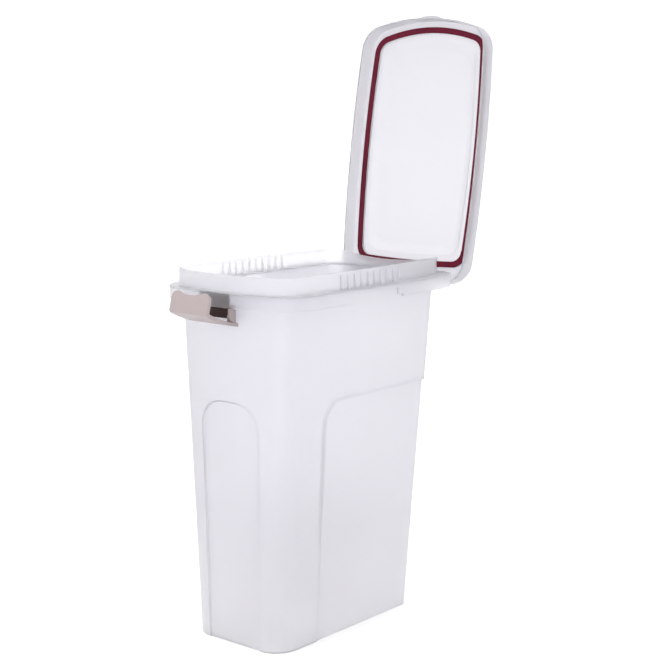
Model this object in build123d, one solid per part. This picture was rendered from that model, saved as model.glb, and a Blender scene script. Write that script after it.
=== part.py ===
"""Upright bin for dry pet food: one tall translucent tub, a flip-up lid with a
soft seal, and a clip at the front that folds up over the lid's lip.

Frame: millimetres, +Z up, origin on the floor under the rim's own centre line.
The front, with the clip, faces -Y and the lid's hinge is at the back, +Y.
The lid is drawn shut on its rim and then turned back to where it leans.
The clip is drawn hanging open, which is how it rests.
"""
from build123d import *
from math import atan2, cos, degrees, hypot, radians, sin, sqrt, tan
import os

# sealing rim of the tub, the outline that everything else follows
rim_height = 590.0
rim_half_width = 117.0
rim_side_bow = 7.7
rim_front = 171.4
rim_front_bow = 22.2
rim_rear = 216.4
rim_rear_bow = 4.0
rim_front_corner = 34.0
rim_rear_corner = 28.5
rim_depth = 26.5
rim_bead = 1.0
rim_bead_height = 3.2
rim_dip = 12.5
rim_dip_half_width = 114.0

# tub body below the rim
tub_wall = 2.4
tub_floor = 3.0
body_inset = 6.3
foot_half_width = 93.5
foot_front = 167.2
foot_rear = 160.4
foot_bow = 1.0
foot_front_corner = 41.0
foot_rear_corner = 9.0
foot_round = 4.0
sharpest_corner = 1.0

# skirt that hangs from the ledge round the rim
skirt_overhang = 21.3
skirt_front_overhang = 13.1
skirt_front_bow = 22.2
skirt_front_corner = 68.0
skirt_height = 21.5
skirt_top_round = 2.0
skirt_low_round = 0.8

# hand grips: a notch in the skirt on both sides, with fins above it
grip_front = 46.0
grip_rear = 72.6
grip_height = 14.5
grip_tab_length = 12.0
grip_tab_height = 4.5
grip_slope = 4.5
fin_count = 10
fin_pitch = 16.0
fin_first_y = -56.0
fin_thickness = 1.8
fin_reach = 5.5
fin_top_reach = 2.0
fin_top_gap = 5.0

# pressed-in panels of the body
panel_depth = 3.6
panel_slope = 24.0
front_panel_top = 387.0
front_panel_half_width = 55.5
front_panel_corner = 42.0
side_panel_top = 387.0
side_panel_front = 70.0
side_panel_foot_front = 78.0
side_panel_corner = 38.0

# lid
lid_wall = 2.5
lid_overhang = 11.3
lid_rear_overhang = 27.0
lid_front_corner = 44.0
lid_rear_corner = 41.0
lid_skirt_gap = 4.5
lid_border = 6.0
lid_crown_rise = 5.0
lid_crown_slope = 16.0
lid_crown_round = 20.0
lid_panel_corner = 26.0
lid_edge_round = 3.5
lid_lip_half_width = 38.0
lid_lip_tip_half_width = 16.0
lid_lip_reach = 5.7
lid_lip_thickness = 3.0
lid_open_angle = 98.2

# soft seal and the two ribs that hold it
seal_inner = 10.7
seal_outer = -0.8
seal_thickness = 3.5
seal_gap = 0.3
rib_thickness = 1.2
rib_height = 1.8
rib_gap = 0.15

# lid hinge: knuckles with moulded pins between lugs under the ledge
hinge_behind_rim = 20.7
hinge_below_rim = 39.7
hinge_offset = 62.0
knuckle_width = 22.0
knuckle_radius = 5.0
knuckle_clearance = 0.8
hinge_side_gap = 0.5
hinge_pin_radius = 2.5
hinge_pin_gap = 0.08
hinge_lug_thickness = 3.2
hinge_lug_radius = 6.0
hinge_hole_relief = 1.0
arm_thickness = 5.0
stop_gap = 0.3
stop_width = 14.0
stop_thickness = 5.0
stop_overlap = 4.0

# front clip, in its open position
clip_pivot_behind_skirt = 4.7
clip_pivot_below_skirt = 13.3
clip_half_width = 39.4
clip_wall = 3.0
clip_rim_wall = 2.6
clip_rim_height = 2.2
clip_tail_behind = 8.3
clip_tail_below = 14.4
clip_knee_ahead = 24.0
clip_knee_below = 6.4
clip_foot_ahead = 58.2
clip_foot_above = 10.3
clip_top_ahead = 50.0
clip_top_above = 40.8
clip_bow = 3.5
clip_corner = 6.5
clip_dip = 4.3
clip_shoulder = 28.5
clip_shoulder_drop = 14.0
clip_shoulder_curve = [(0.45, 0.1), (0.78, 0.33), (0.96, 0.66), (1.0, 1.0), (1.02, 1.4)]
clip_lug_thickness = 4.0
clip_lug_radius = 4.6
clip_pin_radius = 2.5
clip_pin_gap = 0.08
clip_side_gap = 0.3
clip_lip_gap = 0.5
clip_closed_angle = 47.2

# bracket that carries the clip, pushed up behind the skirt
bracket_half_width = 30.0
bracket_wall = 2.4
bracket_gap = 0.1
backing_thickness = 1.4
bracket_bar_drop = 15.3
bracket_bar_gap = 0.8
bracket_ear_thickness = 3.6
bracket_ear_radius = 6.7
bracket_root = 6.0
bracket_skirt_gap = 0.3
bracket_stop_gap = 0.3
keeper_length = 14.0
keeper_height = 8.0
keeper_offset = 18.0

REACH = 700.0  # longer than any part of the bin, for cutting tools

ledge_top = rim_height - rim_depth
ledge_bottom = ledge_top - tub_wall
skirt_bottom = ledge_top - skirt_height
hinge_y = rim_rear + hinge_behind_rim
hinge_z = rim_height - hinge_below_rim
clip_pivot_y = -rim_front - skirt_front_overhang - skirt_front_bow + clip_pivot_behind_skirt
clip_pivot_z = skirt_bottom - clip_pivot_below_skirt
seal_face = rim_height + seal_gap
lid_underside = seal_face + seal_thickness
lid_top = lid_underside + lid_wall
lid_free_edge = ledge_top + lid_skirt_gap
slot_front = hinge_y - knuckle_radius - knuckle_clearance


def arc_radius(half_chord, bow):
    return (half_chord ** 2 + bow ** 2) / (2 * bow)


def crossing(first, first_radius, second, second_radius, near):
    """Of the two points where two circles cross, the one nearer to a given point."""
    (x1, y1), (x2, y2) = first, second
    gap = hypot(x2 - x1, y2 - y1)
    along = (gap ** 2 + first_radius ** 2 - second_radius ** 2) / (2 * gap)
    aside = sqrt(first_radius ** 2 - along ** 2)
    east, north = (x2 - x1) / gap, (y2 - y1) / gap
    foot_x, foot_y = x1 + along * east, y1 + along * north
    points = [(foot_x - aside * north, foot_y + aside * east), (foot_x + aside * north, foot_y - aside * east)]
    return min(points, key=lambda point: hypot(point[0] - near[0], point[1] - near[1]))


def outline(half_width, front, rear, side_bow, front_bow, rear_bow, front_corner, rear_corner, grow=0.0):
    """Rectangle with bowed sides and round corners at Z 0, its sides moved outwards by grow."""
    middle = (rear - front) / 2
    side_radius = arc_radius((front + rear) / 2, side_bow)
    front_radius = arc_radius(half_width, front_bow)
    rear_radius = arc_radius(half_width, rear_bow)
    side = (half_width + side_bow - side_radius, middle)
    front_side, rear_side = (0, -front - front_bow + front_radius), (0, rear + rear_bow - rear_radius)
    x_front, y_front = crossing(side, side_radius + grow, front_side, front_radius + grow, (half_width, -front))
    x_rear, y_rear = crossing(side, side_radius + grow, rear_side, rear_radius + grow, (half_width, rear))
    widest = half_width + side_bow + grow
    shape = Sketch() + make_face([
        ThreePointArc((-x_front, y_front), (0, -front - front_bow - grow), (x_front, y_front)),
        ThreePointArc((x_front, y_front), (widest, middle), (x_rear, y_rear)),
        ThreePointArc((x_rear, y_rear), (0, rear + rear_bow + grow), (-x_rear, y_rear)),
        ThreePointArc((-x_rear, y_rear), (-widest, middle), (-x_front, y_front)),
    ])
    shape = fillet(shape.vertices().group_by(Axis.Y)[0], max(front_corner + grow, sharpest_corner))
    return fillet(shape.vertices().group_by(Axis.Y)[-1], max(rear_corner + grow, sharpest_corner))


def rim_outline(grow=0.0):
    """Outer face of the sealing rim, moved outwards by grow."""
    return outline(rim_half_width, rim_front, rim_rear, rim_side_bow, rim_front_bow, rim_rear_bow,
                   rim_front_corner, rim_rear_corner, grow)


def foot_outline(grow=0.0):
    """Outer face of the body at the floor, moved outwards by grow."""
    return outline(foot_half_width, foot_front, foot_rear, foot_bow, foot_bow, foot_bow,
                   foot_front_corner, foot_rear_corner, grow)


def skirt_outline(grow=0.0):
    """Outer face of the hanging skirt, moved outwards by grow."""
    return outline(rim_half_width + skirt_overhang, rim_front + skirt_front_overhang,
                   rim_rear + skirt_overhang, rim_side_bow, skirt_front_bow, rim_rear_bow,
                   skirt_front_corner, rim_rear_corner + skirt_overhang, grow)


def lid_outline(grow=0.0):
    """Outer face of the lid, which reaches further back than the rim, moved outwards by grow."""
    return outline(rim_half_width + lid_overhang, rim_front + lid_overhang, rim_rear + lid_rear_overhang,
                   rim_side_bow, rim_front_bow, rim_rear_bow, lid_front_corner, lid_rear_corner, grow)


def lid_panel_outline(inset):
    """Outline of the lid's raised panel, inset from the rim's outline."""
    return outline(rim_half_width - inset, rim_front - inset, rim_rear - inset, rim_side_bow,
                   rim_front_bow, rim_rear_bow, lid_panel_corner, lid_panel_corner)


def slab(face, low, high):
    """Upright solid with this outline between two heights."""
    return extrude(Pos(0, 0, low) * face, amount=high - low)


def ring(outer, inner, low, high):
    return slab(outer, low, high) - slab(inner, low, high)


def side_plate(outline_points, x_low, x_high):
    """Plate that stands across X, with its outline given as (y, z) points."""
    face = Plane.YZ * make_face(Polyline(*outline_points, close=True))
    return Pos(x_low, 0, 0) * extrude(face, amount=x_high - x_low)


def block(x_low, x_high, y_low, y_high, z_low, z_high):
    centre = Pos((x_low + x_high) / 2, (y_low + y_high) / 2, (z_low + z_high) / 2)
    return centre * Box(x_high - x_low, y_high - y_low, z_high - z_low)


def rod(radius, y, z, x_low, x_high):
    """Round rod along X."""
    return Pos((x_low + x_high) / 2, y, z) * Rot(0, 90, 0) * Cylinder(radius, x_high - x_low)


def on_both_sides(solid):
    return solid + mirror(solid, Plane.YZ)


def turned(solid, y, z, angle):
    """Solid turned about the X direction through (y, z)."""
    return Pos(0, y, z) * Rot(angle, 0, 0) * Pos(0, -y, -z) * solid


def rear_dip(lift=0.0):
    """Space above the rim's dipped rear edge, raised by lift."""
    low = ThreePointArc((-rim_dip_half_width, rim_height + lift), (0, rim_height - rim_dip + lift),
                        (rim_dip_half_width, rim_height + lift))
    top = Line((rim_dip_half_width, rim_height + lift), (-rim_dip_half_width, rim_height + lift))
    face = Plane.XZ * make_face([low, top])
    return Pos(0, rim_rear - rim_rear_corner, 0) * extrude(face, amount=-REACH)


# Tub

def tapered_core(inset):
    """Body without its panels, drawn in from the outer face by inset."""
    top = Pos(0, 0, ledge_top) * rim_outline(-body_inset - inset)
    core = loft([foot_outline(-inset), top], ruled=True)
    return fillet(core.edges().group_by(Axis.Z)[0], max(foot_round - inset, sharpest_corner))


def front_panel_space(grow):
    """Straight-sided space of the front panel with an arched top, its sides sloped."""
    half, top = front_panel_half_width + grow, front_panel_top + grow
    shape = Sketch() + make_face(Polyline((-half, top), (half, top), (half, -REACH), (-half, -REACH), close=True))
    shape = fillet(shape.vertices().group_by(Axis.Y)[-1], front_panel_corner + grow)
    depth = rim_front + rim_front_bow - foot_front / 2
    mouth = Plane(origin=(0, -foot_front / 2, 0), x_dir=(1, 0, 0), z_dir=(0, -1, 0))
    at_body = offset(shape, -(foot_front / 2 + tub_wall) * tan(radians(panel_slope)), kind=Kind.INTERSECTION)
    return extrude(mouth * at_body, amount=depth, taper=-panel_slope)


def side_panel_space(grow):
    """Space of the side panels, which run round the back of the body."""
    front, foot_y, top = -side_panel_front - grow, -side_panel_foot_front - grow, side_panel_top + grow
    shape = Sketch() + make_face(Polyline((foot_y, 0), (front, top), (REACH, top), (REACH, -REACH),
                                          (foot_y, -REACH), close=True))
    corner = shape.vertices().sort_by_distance((front, top, 0))[0]
    shape = fillet(corner, side_panel_corner + grow)
    return extrude(Plane.YZ * shape, amount=REACH, both=True)


def body_solid(inset, grow):
    """Solid body with its panels pressed in."""
    panels = front_panel_space(grow) + side_panel_space(grow)
    return tapered_core(inset) - (panels - tapered_core(inset + panel_depth))


def body_shell():
    inside = body_solid(tub_wall, tub_wall) - block(-REACH, REACH, -REACH, REACH, -REACH, tub_floor)
    return body_solid(0, 0) - inside


def grip_notch():
    """Space cut out of the skirt over one hand grip, with a tab left at its rear end."""
    top = skirt_bottom + grip_height
    tab = skirt_bottom + grip_tab_height
    below = skirt_bottom - 1
    points = [(-grip_front, below), (-grip_front + grip_slope, top), (grip_rear - grip_tab_length, top),
              (grip_rear - grip_tab_length, tab), (grip_rear, tab), (grip_rear, below)]
    return side_plate(points, rim_half_width - rim_side_bow, REACH)


def fin(y):
    """Upright fin between the ledge and the outside of the rim wall."""
    top = rim_height - fin_top_gap
    shape = make_face(Polyline((0, ledge_bottom), (REACH / 2, ledge_bottom), (REACH / 2, top), (0, top), close=True))
    plate = extrude(Plane(origin=(0, y, 0), x_dir=(1, 0, 0), z_dir=(0, -1, 0)) * shape,
                    amount=fin_thickness / 2, both=True)
    low = Pos(0, 0, ledge_bottom) * rim_outline(fin_reach)
    high = Pos(0, 0, top) * rim_outline(fin_top_reach)
    return plate & (loft([low, high], ruled=True) - slab(rim_outline(-tub_wall / 2), ledge_bottom, top))


def hinge_slot():
    """Space that one lid arm and its knuckle move through."""
    half = knuckle_width / 2 + hinge_side_gap
    return block(hinge_offset - half, hinge_offset + half, slot_front, REACH, skirt_bottom - 1, ledge_top + 1)


def hinge_lugs():
    """Pair of lugs beside one hinge slot, with holes for the moulded pins."""
    inner = knuckle_width / 2 + hinge_side_gap
    outer = inner + hinge_lug_thickness
    front = slot_front - tub_wall
    points = [(front, ledge_top - tub_wall / 2), (front, hinge_z), (hinge_y, hinge_z - hinge_lug_radius),
              (hinge_y + hinge_lug_radius, hinge_z), (hinge_y + hinge_lug_radius, ledge_top - tub_wall / 2)]
    low, high = hinge_offset - outer, hinge_offset + outer
    lugs = side_plate(points, low, high) + rod(hinge_lug_radius, hinge_y, hinge_z, low, high)
    return lugs - block(hinge_offset - inner, hinge_offset + inner, 0, REACH, 0, REACH)


def hinge_pin_holes():
    half = knuckle_width / 2 + hinge_side_gap + hinge_lug_thickness + hinge_hole_relief
    return rod(hinge_pin_radius + hinge_pin_gap, hinge_y, hinge_z, hinge_offset - half, hinge_offset + half)


def keeper():
    """Rib under the ledge that holds the clip's bracket against the skirt."""
    front = tub_wall + 2 * bracket_gap + backing_thickness + bracket_wall
    low, high = ledge_bottom - keeper_height, ledge_bottom + tub_wall / 2
    rib = ring(skirt_outline(-front), skirt_outline(-front - tub_wall), low, high)
    return rib & block(keeper_offset - keeper_length / 2, keeper_offset + keeper_length / 2, -REACH, 0, low, high)


def ledge_and_skirt():
    """Ledge round the rim with the skirt that hangs from it, its outer edges rounded."""
    whole = slab(skirt_outline(), skirt_bottom, ledge_top)
    whole = fillet(whole.edges().group_by(Axis.Z)[-1], skirt_top_round)
    whole = fillet(whole.edges().group_by(Axis.Z)[0], skirt_low_round)
    whole -= slab(skirt_outline(-tub_wall), skirt_bottom - 1, ledge_bottom)
    return whole - slab(rim_outline(-body_inset - tub_wall), ledge_bottom - 1, ledge_top + 1)


def make_tub():
    rim = ring(rim_outline(), rim_outline(-tub_wall), ledge_bottom, rim_height)
    bead = ring(rim_outline(rim_bead), rim_outline(-tub_wall), rim_height - rim_bead_height, rim_height)
    rim = fillet((rim + bead).edges().group_by(Axis.Z)[-1], tub_wall / 4) - rear_dip()
    openings = on_both_sides(grip_notch()) + on_both_sides(hinge_slot())
    tub = body_shell() + (ledge_and_skirt() - openings) + rim
    tub += on_both_sides(hinge_lugs())
    tub += on_both_sides(keeper())
    tub -= on_both_sides(hinge_pin_holes())
    for index in range(fin_count):
        tub += on_both_sides(fin(fin_first_y + index * fin_pitch))
    return tub


# Lid, drawn shut

def lid_shell():
    """Skirt, border and raised panel of the lid, one wall thick."""
    outside = slab(lid_outline(), lid_free_edge, lid_top)
    outside = fillet(outside.edges().group_by(Axis.Z)[-1], lid_edge_round)
    inside = slab(lid_outline(-lid_wall), lid_free_edge - 1, lid_underside)
    border = seal_inner + lid_border
    for low, wall in ((lid_top - lid_wall / 2, 0), (lid_underside - lid_wall / 2, lid_wall)):
        foot = Pos(0, 0, low) * lid_panel_outline(border + wall / 2)
        head = Pos(0, 0, lid_top + lid_crown_rise - wall) * lid_panel_outline(border + lid_crown_slope + wall / 2)
        crown = loft([foot, head], ruled=True)
        crown = fillet(crown.edges().group_by(Axis.Z)[-1], lid_crown_round)
        if wall:
            inside += crown
        else:
            outside += crown
    return outside - inside


def seal_ribs():
    """Two low ribs under the lid that hold the seal between them."""
    low = lid_underside - rib_height
    outer = ring(rim_outline(seal_outer + rib_gap + rib_thickness), rim_outline(seal_outer + rib_gap),
                 low, lid_underside + lid_wall / 2)
    inner = ring(rim_outline(-seal_inner - rib_gap), rim_outline(-seal_inner - rib_gap - rib_thickness),
                 low, lid_underside + lid_wall / 2)
    return outer + inner


def clip_catch_height(y):
    """Height under the shut clip's lip at this y, where the lid's own lip ends."""
    foot = shut_clip_point(clip_foot_ahead - clip_wall, clip_foot_above)
    top = shut_clip_point(clip_top_ahead - clip_wall, clip_top_above)
    slope = (top[1] - foot[1]) / (top[0] - foot[0])
    return foot[1] + slope * (y - foot[0]) - clip_lip_gap


def shut_clip_point(ahead, above):
    """Where a point of the clip, given from its pivot, comes to when it is shut."""
    angle = radians(clip_closed_angle)
    y = -ahead * cos(angle) + above * sin(angle)
    z = ahead * sin(angle) + above * cos(angle)
    return clip_pivot_y + y, clip_pivot_z + z


def lid_lip():
    """Lip on the front of the lid that the clip hooks over."""
    root = -rim_front - rim_front_bow - lid_overhang + lid_wall / 2
    tip = root - lid_wall / 2 - lid_lip_reach
    plan = make_face([
        ThreePointArc((-lid_lip_tip_half_width, tip + 0.6), (0, tip), (lid_lip_tip_half_width, tip + 0.6)),
        Line((lid_lip_tip_half_width, tip + 0.6), (lid_lip_half_width, root + 1)),
        Line((lid_lip_half_width, root + 1), (lid_lip_half_width, -rim_front)),
        Line((lid_lip_half_width, -rim_front), (-lid_lip_half_width, -rim_front)),
        Line((-lid_lip_half_width, -rim_front), (-lid_lip_half_width, root + 1)),
        Line((-lid_lip_half_width, root + 1), (-lid_lip_tip_half_width, tip + 0.6)),
    ])
    far, near = tip - 1, -rim_front
    points = [(far, clip_catch_height(far)), (root, clip_catch_height(root)), (near, clip_catch_height(root)),
              (near, clip_catch_height(root) - lid_lip_thickness),
              (root, clip_catch_height(root) - lid_lip_thickness),
              (far, clip_catch_height(far) - lid_lip_thickness)]
    wedge = side_plate(points, -lid_lip_half_width, lid_lip_half_width)
    lip = slab(plan, rim_height - rim_depth, lid_top) & wedge
    return lip - slab(lid_outline(-lid_wall / 2), 0, REACH)


def lid_arm():
    """Arm from the lid's underside down to the hinge, with a knuckle and its moulded pins."""
    low, high = hinge_offset - knuckle_width / 2, hinge_offset + knuckle_width / 2
    arm = block(low, high, hinge_y - arm_thickness / 2, hinge_y + arm_thickness / 2,
                hinge_z, lid_underside + lid_wall / 2)
    arm += rod(knuckle_radius, hinge_y, hinge_z, low, high)
    pin = hinge_side_gap + hinge_lug_thickness
    return arm + rod(hinge_pin_radius, hinge_y, hinge_z, low - pin, high + pin)


def stop_toe():
    """Toe behind the knuckle, drawn open, that comes to rest under the ledge."""
    tip = slot_front - stop_overlap
    top = ledge_bottom - stop_gap
    points = [(hinge_y, hinge_z + knuckle_radius * 0.6), (tip + stop_overlap, top), (tip, top),
              (tip, top - stop_thickness), (hinge_y - 1, hinge_z - knuckle_radius * 0.6)]
    return side_plate(points, hinge_offset - stop_width / 2, hinge_offset + stop_width / 2)


def opened(solid):
    """Shut lid or seal, turned back to where the lid leans on its stop."""
    return turned(solid, hinge_y, hinge_z, -lid_open_angle)


def make_lid():
    shut = lid_shell() + seal_ribs() + lid_lip() + on_both_sides(lid_arm())
    return opened(shut) + on_both_sides(stop_toe())


def make_lid_seal():
    """Soft strip under the lid, deeper at the back where the rim dips."""
    strip = ring(rim_outline(seal_outer), rim_outline(-seal_inner), seal_face, lid_underside)
    deep = ring(rim_outline(seal_outer), rim_outline(-seal_inner), rim_height - rim_dip, seal_face)
    return opened(strip + (deep & rear_dip(seal_gap)))


# Clip, drawn hanging open

def clip_side(inset):
    """Side view of the clip as a filled shape, its outer faces moved in by inset."""
    tail = (clip_pivot_y + clip_tail_behind, clip_pivot_z - clip_tail_below)
    knee = (clip_pivot_y - clip_knee_ahead, clip_pivot_z - clip_knee_below)
    foot = (clip_pivot_y - clip_foot_ahead - clip_bow, clip_pivot_z + clip_foot_above)
    lean = (clip_foot_ahead - clip_top_ahead) / (clip_top_above - clip_foot_above)
    head = (foot[0] + lean * REACH, foot[1] + REACH)
    back = (tail[0] + REACH, tail[1])
    shape = make_face([ThreePointArc(tail, knee, foot), Line(foot, head),
                       Line(head, (back[0], head[1])), Line((back[0], head[1]), back), Line(back, tail)])
    return offset(Sketch() + shape, -inset, kind=Kind.INTERSECTION) if inset else shape


def clip_body(inset, half_width):
    """Filled clip with its bowed front, moved in by inset."""
    lean = atan2(clip_foot_ahead - clip_top_ahead, clip_top_above - clip_foot_above)
    radius = (clip_half_width ** 2 + clip_bow ** 2) / (2 * clip_bow)
    foot_y = clip_pivot_y - clip_foot_ahead - clip_bow
    foot_z = clip_pivot_z + clip_foot_above
    centre = Pos(0, foot_y + radius * cos(lean), foot_z - radius * sin(lean))
    bow = centre * Rot(-degrees(lean), 0, 0) * Cylinder(radius - inset, 2 * REACH)
    solid = extrude(Plane.YZ * clip_side(inset), amount=half_width, both=True) & bow
    low = solid.edges().filter_by(lambda e: e.center().Y < foot_y + 8 and abs(e.center().X) < 1).sort_by(Axis.Z)
    return fillet(low[0], clip_corner - inset)


def above_clip():
    """Space above the clip's top edge, which dips between two round shoulders."""
    top = clip_pivot_z + clip_top_above
    width = clip_half_width - clip_shoulder
    half = [(0, top - clip_dip), (clip_shoulder / 2.2, top - clip_dip * 0.8), (clip_shoulder, top)]
    half += [(clip_shoulder + across * width, top - down * clip_shoulder_drop)
             for across, down in clip_shoulder_curve]
    right = half[-1]
    left = (-right[0], right[1])
    edge = Spline(*[(-y, z) for y, z in reversed(half[1:])], *half)
    far_right, far_left = (right[0], top + 3 * REACH), (left[0], top + 3 * REACH)
    shape = make_face([edge, Line(right, far_right), Line(far_right, far_left), Line(far_left, left)])
    return extrude(Plane.XZ * shape, amount=REACH, both=True)


def clip_lug():
    """Lug inside the clip that carries its moulded pin."""
    outer = clip_half_width - clip_rim_wall - clip_side_gap - bracket_ear_thickness - clip_side_gap
    low = clip_pivot_z - 2 * clip_tail_below
    points = [(clip_pivot_y - clip_lug_radius, clip_pivot_z), (clip_pivot_y + clip_lug_radius, clip_pivot_z),
              (clip_pivot_y + clip_lug_radius, low), (clip_pivot_y - clip_lug_radius, low)]
    lug = side_plate(points, outer - clip_lug_thickness, outer)
    lug += rod(clip_lug_radius, clip_pivot_y, clip_pivot_z, outer - clip_lug_thickness, outer)
    pin_end = outer + clip_side_gap + bracket_ear_thickness
    return lug + rod(clip_pin_radius, clip_pivot_y, clip_pivot_z, outer - clip_lug_thickness / 2, pin_end)


def make_clip():
    whole = clip_body(0, clip_half_width)
    sheet = whole - clip_body(clip_wall, clip_half_width)
    rims = whole - clip_body(clip_wall + clip_rim_height, clip_half_width)
    inner = clip_half_width - clip_rim_wall
    rims -= block(-inner, inner, -REACH, 2 * REACH, -REACH, 3 * REACH)
    tail = clip_pivot_y + clip_tail_behind
    behind = block(-REACH, REACH, tail, 2 * REACH, 0, 3 * REACH)
    lugs = on_both_sides(clip_lug()) & whole
    return sheet + rims - above_clip() - behind + lugs


# Bracket that carries the clip

def behind_skirt(depth, low, high):
    """Space behind the skirt's front wall, starting at this depth from its outer face."""
    return slab(skirt_outline(-depth), low, high)


def bracket_ear():
    """Ear that holds one of the clip's pins, with a heel that the open clip rests on."""
    outer = clip_half_width - clip_rim_wall - clip_side_gap
    inner = outer - bracket_ear_thickness
    radius = bracket_ear_radius
    neck = skirt_bottom - bracket_skirt_gap
    column = block(inner, outer, clip_pivot_y - radius, clip_pivot_y + radius, clip_pivot_z, neck)
    heel = block(inner, outer, clip_pivot_y, clip_pivot_y + radius, clip_pivot_z - 2 * radius, clip_pivot_z)
    ear = column + rod(radius, clip_pivot_y, clip_pivot_z, inner, outer) + heel
    ear &= clip_body(clip_wall + bracket_stop_gap, clip_half_width)
    root = block(inner, outer, -REACH, clip_pivot_y + radius, neck - 1, skirt_bottom + bracket_root)
    ear += root & behind_skirt(tub_wall + bracket_gap, neck - 1, ledge_top)
    hole = clip_pin_radius + clip_pin_gap
    return ear - rod(hole, clip_pivot_y, clip_pivot_z, inner - 1, outer + 1)


def bracket_web_space():
    """Space between the two lugs of the clip and up to the ledge, for the web and its backing."""
    ear_inner = clip_half_width - clip_rim_wall - clip_side_gap - bracket_ear_thickness
    lug_inner = ear_inner - clip_side_gap - clip_lug_thickness - bracket_bar_gap
    low, neck = skirt_bottom - bracket_bar_drop, skirt_bottom - bracket_skirt_gap
    above_lug = clip_pivot_z + clip_lug_radius + bracket_bar_gap
    space = block(-bracket_half_width, bracket_half_width, -REACH, 0, above_lug, ledge_bottom)
    return space + block(-lug_inner, lug_inner, -REACH, 0, low, neck)


def make_clip_bracket():
    front = tub_wall + bracket_gap + backing_thickness
    web = behind_skirt(front, 0, ledge_bottom) - behind_skirt(front + bracket_wall, -1, ledge_top)
    ear_inner = clip_half_width - clip_rim_wall - clip_side_gap - bracket_ear_thickness
    above_lug = clip_pivot_z + clip_lug_radius + bracket_bar_gap
    neck = skirt_bottom - bracket_skirt_gap
    space = bracket_web_space() + block(-ear_inner - 1, ear_inner + 1, -REACH, 0, above_lug, neck)
    return (web & space) + on_both_sides(bracket_ear())


def make_clip_backing():
    """Dark strip between the skirt and the bracket's web."""
    front = tub_wall + bracket_gap
    strip = behind_skirt(front, 0, ledge_bottom) - behind_skirt(front + backing_thickness, -1, ledge_top)
    return strip & bracket_web_space()


def main():
    os.makedirs("parts", exist_ok=True)
    pieces = {
        "tub": make_tub(),
        "lid": make_lid(),
        "lid_seal": make_lid_seal(),
        "clip": make_clip(),
        "clip_bracket": make_clip_bracket(),
        "clip_backing": make_clip_backing(),
    }
    for name, piece in pieces.items():
        solids = piece.solids()
        if len(solids) != 1:
            print(name, "came out in", len(solids), "solids")
        solid = max(solids, key=lambda one: one.volume)
        solid.label = name
        export_step(solid, f"parts/{name}.step")


main()
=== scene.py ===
import bpy
import math
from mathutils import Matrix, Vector

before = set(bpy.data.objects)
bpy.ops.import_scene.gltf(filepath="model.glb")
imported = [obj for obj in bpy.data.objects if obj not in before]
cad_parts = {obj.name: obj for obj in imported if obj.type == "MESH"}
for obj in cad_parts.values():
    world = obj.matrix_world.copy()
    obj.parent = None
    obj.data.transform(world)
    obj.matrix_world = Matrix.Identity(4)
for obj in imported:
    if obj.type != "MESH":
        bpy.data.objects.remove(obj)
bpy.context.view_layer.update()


# Viewpoint
# The bin was photographed from its front right, a little above the rim, with a long lens, so its
# sides hardly converge. The camera stands where a fit to the rim and the base puts it.
VIEW_AZIMUTH = 40.0
VIEW_PITCH = 9.2
VIEW_LENS = 82.36
VIEW_SENSOR = 36.0
VIEW_PLACE = (1.5924, -1.8248, 0.8696)

camera_data = bpy.data.cameras.new("camera")
camera_data.lens = VIEW_LENS
camera_data.sensor_width = VIEW_SENSOR
camera = bpy.data.objects.new("camera", camera_data)
camera.location = VIEW_PLACE
camera.rotation_euler = (math.radians(90 - VIEW_PITCH), 0, math.radians(VIEW_AZIMUTH))
bpy.context.scene.collection.objects.link(camera)
bpy.context.scene.camera = camera


# Tub
# One tall injection moulding in natural polypropylene without pigment. It is milky, so it lets
# light through and blurs what stands behind it, and its skin is satin, from a polished tool.
# The collar looks clearest, and the foot looks milkiest.
TUB_COLOUR = "FBFBFE"
TUB_SHADE = "F8F8FC"
TUB_CLOUD_MM = 180.0
# Painted shade: below the collar the tub is drawn greyer, fully up to 530 mm and fading out by 565 mm.
TUB_PAINTED_SHADE_GREY = "FAF9FA"
TUB_PAINTED_SHADE_AT_MM = ((530, 1.0), (565, 0.0))
TUB_CLEARNESS_AT_MM = ((0, 0.55), (260, 0.8), (530, 0.8), (560, 0.9))
TUB_ROUGHNESS = 0.34
TUB_DEPTH_DENSITY = 40.0

# Natural polypropylene as a material: its index, the light that spreads inside it, and the
# faint tint that long ways through it take on.
MILKY = {"IOR": 1.49, "Subsurface Weight": 0.15, "Subsurface Radius": (0.02, 0.02, 0.024),
         "Subsurface Scale": 0.3}
DEPTH_COLOUR = "F3F3F6"

# The unevenness of a moulded skin is about 0.1 mm wide. It is drawn coarser, so that it shows.
MILKY_SKIN_MM = 2.4
TUB_SKIN_HEIGHT_MM = 0.02

# How the finish of every piece is drawn
CLOUD_DETAIL = 2.0
SKIN_DETAIL = 3.0
SKIN_STRENGTH = 0.6
ROUGHNESS_SPREAD = 0.04
EDGE_ROUND_MM = 1.0
EDGE_SAMPLES = 4

# Sockets of a colour Mix node
MIX_FACTOR = 0
MIX_A = 6
MIX_B = 7
MIX_RESULT = 2


def srgb_hex(code):
    """Linear colour of an sRGB hex code."""
    values = [int(code[i:i + 2], 16) / 255 for i in (0, 2, 4)]
    linear = [v / 12.92 if v <= 0.04045 else ((v + 0.055) / 1.055) ** 2.4 for v in values]
    return (*linear, 1.0)


def add_node(tree, kind, links=None, **settings):
    """Adds a node, sets its values or properties, and links its inputs."""
    node = tree.nodes.new(kind)
    for name, value in settings.items():
        setattr(node, name, value)
    for name, source in (links or {}).items():
        if isinstance(source, bpy.types.NodeSocket):
            tree.links.new(source, node.inputs[name])
        else:
            node.inputs[name].default_value = source
    return node


def soft_patches(tree, size_mm, detail):
    """A soft random pattern whose patches are about size_mm wide."""
    place = add_node(tree, "ShaderNodeTexCoord").outputs["Object"]
    pattern = add_node(tree, "ShaderNodeTexNoise", {
        "Vector": place, "Scale": 1000 / size_mm, "Detail": detail})
    return pattern.outputs[0]


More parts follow.
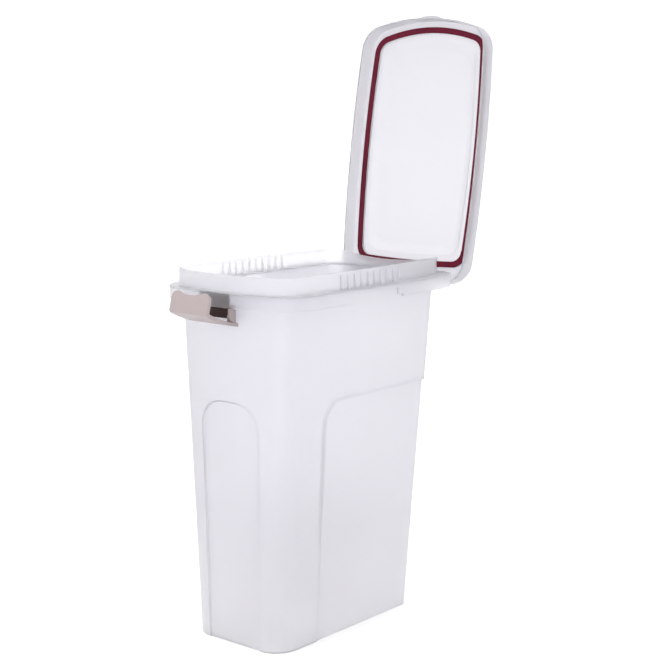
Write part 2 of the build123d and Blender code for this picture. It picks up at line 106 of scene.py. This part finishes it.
def uneven_skin(tree, skin_mm, height_mm):
    """The fine unevenness of a piece's skin, with its edges rounded a little."""
    edge = add_node(tree, "ShaderNodeBevel", {"Radius": EDGE_ROUND_MM / 1000}, samples=EDGE_SAMPLES)
    bump = add_node(tree, "ShaderNodeBump", {
        "Height": soft_patches(tree, skin_mm, SKIN_DETAIL), "Distance": height_mm / 1000,
        "Strength": SKIN_STRENGTH, "Normal": edge.outputs[0]})
    return bump.outputs[0]


def plastic_finish(name, colour, shade, cloud_mm, skin_mm, skin_height_mm, roughness, shader,
                   depth_density=None):
    """A plastic's finish: faint clouds of colour and gloss, an uneven skin, and depth where it is clear."""
    material = bpy.data.materials.new(name)
    material.use_nodes = True
    tree = material.node_tree
    tree.nodes.clear()
    cloud = soft_patches(tree, cloud_mm, CLOUD_DETAIL)
    tint = add_node(tree, "ShaderNodeMix", {
        MIX_FACTOR: cloud, MIX_A: srgb_hex(colour), MIX_B: srgb_hex(shade)}, data_type="RGBA")
    gloss = add_node(tree, "ShaderNodeMapRange", {
        "Value": cloud, "To Min": roughness - ROUGHNESS_SPREAD, "To Max": roughness + ROUGHNESS_SPREAD})
    surface = add_node(tree, "ShaderNodeBsdfPrincipled", {
        "Base Color": tint.outputs[MIX_RESULT], "Roughness": gloss.outputs[0],
        "Normal": uneven_skin(tree, skin_mm, skin_height_mm), **shader})
    ends = {"Surface": surface.outputs[0]}
    if depth_density:
        depth = add_node(tree, "ShaderNodeVolumeAbsorption", {
            "Color": srgb_hex(DEPTH_COLOUR), "Density": depth_density})
        ends["Volume"] = depth.outputs[0]
    add_node(tree, "ShaderNodeOutputMaterial", ends)
    return material


def by_height(tree, steps):
    """A value that follows the height. Each step gives a height in mm and the value there."""
    place = add_node(tree, "ShaderNodeTexCoord").outputs["Object"]
    height = add_node(tree, "ShaderNodeSeparateXYZ", {"Vector": place}).outputs["Z"]
    value = steps[0][1]
    for (low, before), (high, after) in zip(steps, steps[1:]):
        rise = add_node(tree, "ShaderNodeMapRange", {
            "Value": height, "From Min": low / 1000, "From Max": high / 1000,
            "To Min": 0.0, "To Max": after - before}, interpolation_type="SMOOTHSTEP")
        total = add_node(tree, "ShaderNodeMath", {0: value, 1: rise.outputs[0]}, operation="ADD")
        value = total.outputs[0]
    return value


def clear_and_shade_by_height(material, clearness, painted_shade_steps, grey):
    """Makes a milky plastic clearer from its foot to its top, and darkens it with painted shade by height."""
    tree = material.node_tree
    surface = next(node for node in tree.nodes if node.type == "BSDF_PRINCIPLED")
    tree.links.new(by_height(tree, clearness), surface.inputs["Transmission Weight"])
    tint = surface.inputs["Base Color"].links[0].from_socket
    # Painted shade: the tint is darkened by the grey as far as the steps say.
    shaded_tint = add_node(tree, "ShaderNodeMix", {
        MIX_FACTOR: by_height(tree, painted_shade_steps), MIX_A: tint, MIX_B: srgb_hex(grey)},
        data_type="RGBA", blend_type="MULTIPLY")
    tree.links.new(shaded_tint.outputs[MIX_RESULT], surface.inputs["Base Color"])


def give(node_name, material):
    """Gives a CAD node its finish."""
    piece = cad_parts[node_name]
    piece.data.materials.clear()
    piece.data.materials.append(material)


tub_plastic = plastic_finish("natural_polypropylene_tub", TUB_COLOUR, TUB_SHADE, TUB_CLOUD_MM,
                             MILKY_SKIN_MM, TUB_SKIN_HEIGHT_MM, TUB_ROUGHNESS, MILKY, TUB_DEPTH_DENSITY)
clear_and_shade_by_height(tub_plastic, TUB_CLEARNESS_AT_MM, TUB_PAINTED_SHADE_AT_MM, TUB_PAINTED_SHADE_GREY)
give("tub", tub_plastic)


# Lid
# The same natural polypropylene in a flatter moulding, which turns on pins moulded on the two arms
# at its rear. Light reaches it from both sides, so it looks clearer than the tub, and the ribs and
# the raised panel show through it.
# Painted shade: both colours are a greyer copy of the tub's plastic, darkened so that the lid, which faces
# the light, is no brighter than the tub.
LID_PAINTED_SHADE_COLOUR = "E6E5EA"
LID_PAINTED_SHADE_TONE = "E1E0E6"
LID_CLOUD_MM = 140.0
LID_SKIN_HEIGHT_MM = 0.015
LID_ROUGHNESS = 0.33
LID_CLEARNESS = 0.78
LID_DEPTH_DENSITY = 15.0

lid_plastic = plastic_finish("natural_polypropylene_lid_with_painted_shade", LID_PAINTED_SHADE_COLOUR, LID_PAINTED_SHADE_TONE, LID_CLOUD_MM,
                             MILKY_SKIN_MM, LID_SKIN_HEIGHT_MM, LID_ROUGHNESS,
                             {**MILKY, "Transmission Weight": LID_CLEARNESS}, LID_DEPTH_DENSITY)
give("lid", lid_plastic)


# Seal
# A soft dark red strip of thermoplastic rubber, pressed between two ribs under the lid. Its
# moulded skin is dull, so it keeps its colour in white light, with a faint sheen.
SEAL_COLOUR = "6B132E"
SEAL_SHADE = "520C21"
SEAL_CLOUD_MM = 40.0
SEAL_SKIN_MM = 1.2
SEAL_SKIN_HEIGHT_MM = 0.03
SEAL_ROUGHNESS = 0.62
SEAL_SHADER = {"IOR": 1.5, "Specular IOR Level": 0.15, "Sheen Weight": 0.04}

seal_rubber = plastic_finish("soft_red_rubber", SEAL_COLOUR, SEAL_SHADE, SEAL_CLOUD_MM, SEAL_SKIN_MM,
                             SEAL_SKIN_HEIGHT_MM, SEAL_ROUGHNESS, SEAL_SHADER)
give("lid_seal", seal_rubber)


# Clip and its bracket
# Opaque polypropylene moulded in a warm grey. The clip folds on two moulded pins in the ears of
# the bracket, which is pushed up behind the tub's front skirt.
CLIP_COLOUR = "A89B9C"
CLIP_SHADE = "9C8F90"
CLIP_CLOUD_MM = 60.0
CLIP_SKIN_MM = 1.6
CLIP_SKIN_HEIGHT_MM = 0.02
CLIP_ROUGHNESS = 0.42
CLIP_SHADER = {"IOR": 1.49}

clip_plastic = plastic_finish("warm_grey_polypropylene", CLIP_COLOUR, CLIP_SHADE, CLIP_CLOUD_MM,
                              CLIP_SKIN_MM, CLIP_SKIN_HEIGHT_MM, CLIP_ROUGHNESS, CLIP_SHADER)
give("clip", clip_plastic)
give("clip_bracket", clip_plastic)


# Clip backing, a painted shadow
# A dark brown strip with a dull face between the skirt and the bracket, coloured as painted shadow
# for the shade there. It shows as a grey patch through the milky skirt, and as a dark bar below it.
PAINTED_SHADOW_COLOUR = "3A2624"
PAINTED_SHADOW_DARKER = "2E1D1C"
PAINTED_SHADOW_CLOUD_MM = 12.0
PAINTED_SHADOW_SKIN_MM = 0.8
PAINTED_SHADOW_SKIN_HEIGHT_MM = 0.03
PAINTED_SHADOW_ROUGHNESS = 0.55
PAINTED_SHADOW_SHADER = {"IOR": 1.5}

painted_shadow_strip = plastic_finish("painted_shadow_sheet", PAINTED_SHADOW_COLOUR, PAINTED_SHADOW_DARKER, PAINTED_SHADOW_CLOUD_MM,
                                 PAINTED_SHADOW_SKIN_MM, PAINTED_SHADOW_SKIN_HEIGHT_MM, PAINTED_SHADOW_ROUGHNESS, PAINTED_SHADOW_SHADER)
# The clip_backing piece is this dark strip of painted shadow.
give("clip_backing", painted_shadow_strip)


# Floor
# A plain white floor, as dull as paper, that runs so far behind the bin that no edge of it shows.
FLOOR_SIZE = 40.0
FLOOR_COLOUR = "FAFAFA"
FLOOR_ROUGHNESS = 0.9

half = FLOOR_SIZE / 2
floor_mesh = bpy.data.meshes.new("floor")
corners = [(-half, -half, 0), (half, -half, 0), (half, half, 0), (-half, half, 0)]
floor_mesh.from_pydata(corners, [], [(0, 1, 2, 3)])
floor_paint = bpy.data.materials.new("white_floor")
floor_paint.use_nodes = True
floor_surface = floor_paint.node_tree.nodes["Principled BSDF"]
floor_surface.inputs["Base Color"].default_value = srgb_hex(FLOOR_COLOUR)
floor_surface.inputs["Roughness"].default_value = FLOOR_ROUGHNESS
floor_mesh.materials.append(floor_paint)
floor = bpy.data.objects.new("floor", floor_mesh)
bpy.context.scene.collection.objects.link(floor)


# Sky
# The soft light of a white studio: an even white surround that is brighter overhead, with a wide
# glow from the front. The picture is shown in plain sRGB, as the photograph is.
SKY_COLOUR = "FFFFFF"
SKY_STRENGTH = 1.12
OVERHEAD_STRENGTH = 1.5
OVERHEAD_START = 0.1
GLOW_DIRECTION = (0.0, -0.8, 0.5)
GLOW_STRENGTH = 0.25
GLOW_EDGE = 0.3

surround = bpy.data.worlds.new("surround")
surround.use_nodes = True
sky_tree = surround.node_tree
sky_tree.nodes.clear()
direction = add_node(sky_tree, "ShaderNodeTexCoord").outputs["Generated"]
height = add_node(sky_tree, "ShaderNodeSeparateXYZ", {"Vector": direction}).outputs["Z"]
overhead = add_node(sky_tree, "ShaderNodeMapRange", {
    "Value": height, "From Min": OVERHEAD_START, "From Max": 1.0,
    "To Min": SKY_STRENGTH, "To Max": OVERHEAD_STRENGTH})
facing = add_node(sky_tree, "ShaderNodeVectorMath", {
    0: direction, 1: Vector(GLOW_DIRECTION).normalized()}, operation="DOT_PRODUCT")
glow = add_node(sky_tree, "ShaderNodeMapRange", {
    "Value": facing.outputs["Value"], "From Min": GLOW_EDGE, "From Max": 1.0,
    "To Min": 0.0, "To Max": GLOW_STRENGTH}, interpolation_type="SMOOTHSTEP")
strength = add_node(sky_tree, "ShaderNodeMath", {0: overhead.outputs[0], 1: glow.outputs[0]}, operation="ADD")
sky = add_node(sky_tree, "ShaderNodeBackground", {
    "Color": srgb_hex(SKY_COLOUR), "Strength": strength.outputs[0]})
add_node(sky_tree, "ShaderNodeOutputWorld", {"Surface": sky.outputs[0]})
bpy.context.scene.world = surround
bpy.context.scene.view_settings.view_transform = "Standard"
